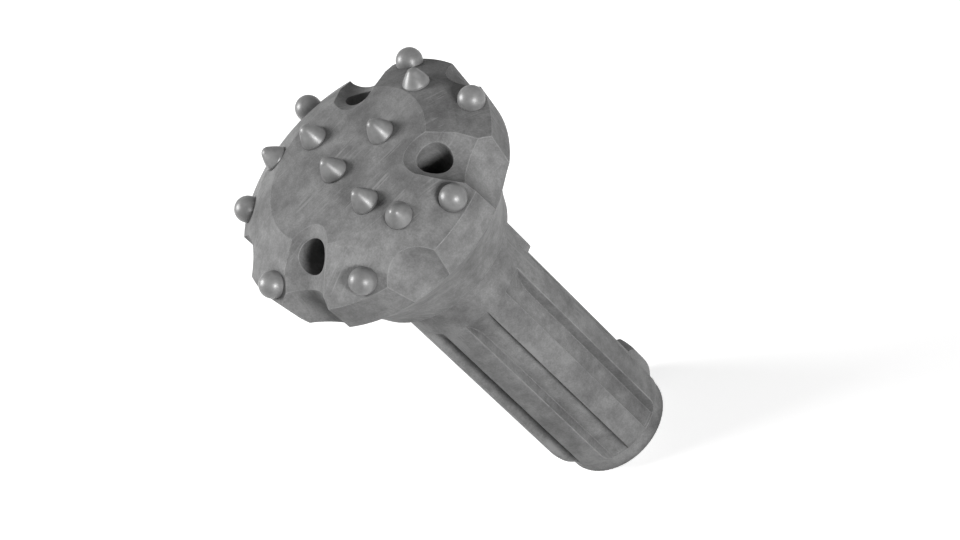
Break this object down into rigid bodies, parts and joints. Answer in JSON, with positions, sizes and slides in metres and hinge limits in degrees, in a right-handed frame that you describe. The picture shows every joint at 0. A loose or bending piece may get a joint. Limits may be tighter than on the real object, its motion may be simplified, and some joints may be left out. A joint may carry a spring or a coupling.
{
  "type": "button drill bit",
  "caption": "Down-the-hole hammer drill bit: splined steel shank and collar under a wide head with flushing holes and pressed-in carbide buttons.",
  "frame": {"origin": "centre of the striking face at the tail of the shank", "axes": "+Z along the bit axis from the striking face to the cutting face; +X points between two gauge buttons, near a chip groove"},
  "size_m": [0.1077, 0.1066, 0.1901],
  "materials": {
    "steel": "heat-treated forged steel, matt mottled grey",
    "carbide": "ground sintered tungsten carbide, satin grey"
  },
  "bodies": {
    "root": {"bit_body": "steel", "gauge_button_1": "carbide", "gauge_button_2": "carbide", "gauge_button_3": "carbide", "gauge_button_4": "carbide", "gauge_button_5": "carbide", "gauge_button_6": "carbide", "gauge_button_7": "carbide", "face_button_1": "carbide", "face_button_2": "carbide", "face_button_3": "carbide", "face_button_4": "carbide", "row_button_1": "carbide", "row_button_2": "carbide", "row_button_3": "carbide"}
  },
  "joints": []
}
